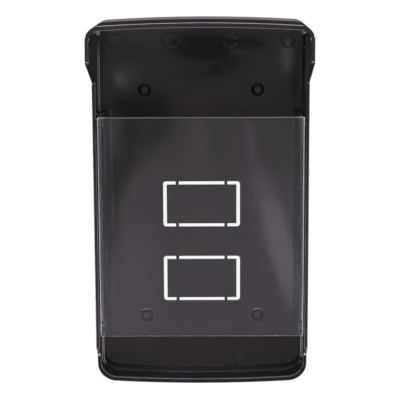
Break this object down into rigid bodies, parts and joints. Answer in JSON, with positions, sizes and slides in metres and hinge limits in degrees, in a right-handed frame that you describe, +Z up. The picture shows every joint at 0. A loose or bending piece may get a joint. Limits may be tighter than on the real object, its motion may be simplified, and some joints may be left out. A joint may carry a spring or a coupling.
{
  "type": "access control protective cover",
  "caption": "Wall-mounted rain cover for an access keypad: black hooded housing with a clear flap hinged near its top and break-out blanks in the back plate.",
  "frame": {"origin": "centre of the back face, mid-width and mid-height", "axes": "+Z up, +Y into the wall, the front faces -Y, +X to the right of someone facing the cover"},
  "size_m": [0.112, 0.0625, 0.1958],
  "materials": {
    "black_plastic": "glossy black moulded plastic",
    "clear_plastic": "clear polished plastic"
  },
  "bodies": {
    "cover": {"housing": "black_plastic", "upper_cable_knockout": "black_plastic", "lower_cable_knockout": "black_plastic", "upper_left_screw_knockout": "black_plastic", "upper_right_screw_knockout": "black_plastic", "lower_left_screw_knockout": "black_plastic", "lower_right_screw_knockout": "black_plastic"},
    "flap": {"clear_flap": "clear_plastic"}
  },
  "joints": [
    {"name": "flap_hinge", "type": "hinge", "parent": "cover", "child": "flap", "pos_m": [0, -0.0125, 0.0434], "axis": [-1, 0, 0], "range_deg": [0, 115]}
  ]
}
